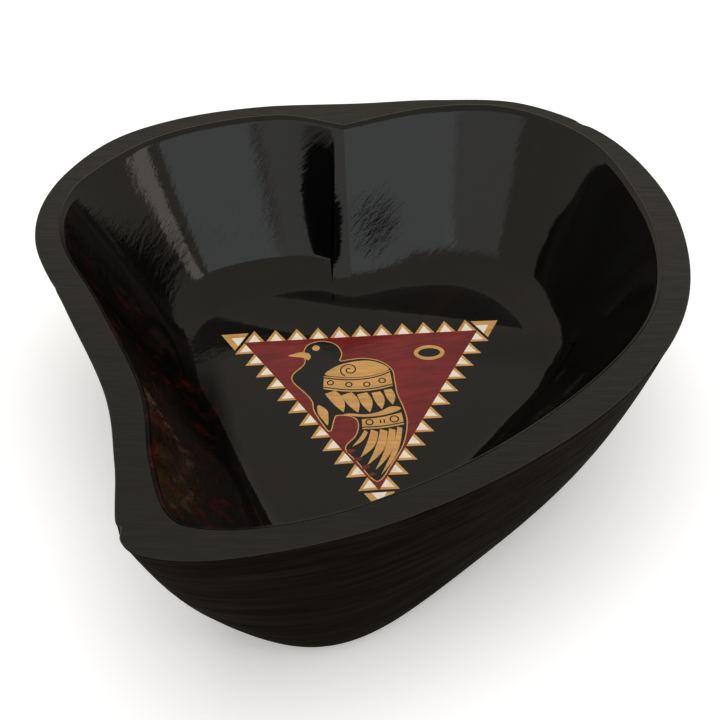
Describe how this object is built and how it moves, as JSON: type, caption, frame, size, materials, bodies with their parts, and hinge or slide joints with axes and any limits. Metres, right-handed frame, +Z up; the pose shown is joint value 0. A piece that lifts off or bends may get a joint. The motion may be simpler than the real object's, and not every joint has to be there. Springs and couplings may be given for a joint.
{
  "type": "carved wooden bowl",
  "caption": "Heart-shaped bowl carved from one block of dark wood, with a level rim, a gloss lacquered hollow and an inlaid bird medallion on the floor.",
  "frame": {"origin": "middle of the plan box, on the table plane that the flat base stands on", "axes": "+Z up, rim level at the top; +Y towards the two lobes and the crease between them, -Y towards the tip; +X to the larger lobe"},
  "size_m": [0.292, 0.312, 0.101],
  "materials": {
    "stained_wood": "matte black stain over tight grain, scratched on the rim",
    "black_lacquer": "high gloss black lacquer",
    "red_paint": "dark red paint under gloss lacquer",
    "black_paint": "black paint under gloss lacquer",
    "bare_wood": "bare tan wood under gloss lacquer",
    "cream_paint": "cream paint under gloss lacquer"
  },
  "bodies": {
    "root": {"bowl_body": "stained_wood", "lacquer_lining": "black_lacquer", "red_field": "red_paint", "bird_halo": "bare_wood", "bird_body": "black_paint", "bird_eye": "bare_wood", "bird_beak": "bare_wood", "wing_shoulder": "bare_wood", "wing_band": "bare_wood", "wing_trim": "bare_wood", "wing_feathers": "bare_wood", "bird_rump": "bare_wood", "tail_band": "bare_wood", "tail_trim": "bare_wood", "tail_feathers": "bare_wood", "bird_thigh": "bare_wood", "sun_ring": "bare_wood", "sun_disc": "black_paint", "teeth_top": "bare_wood", "teeth_left": "bare_wood", "teeth_right": "bare_wood", "tips_top": "cream_paint", "tips_left": "cream_paint", "tips_right": "cream_paint", "corner_pieces": "bare_wood", "corner_tips": "cream_paint"}
  },
  "joints": []
}
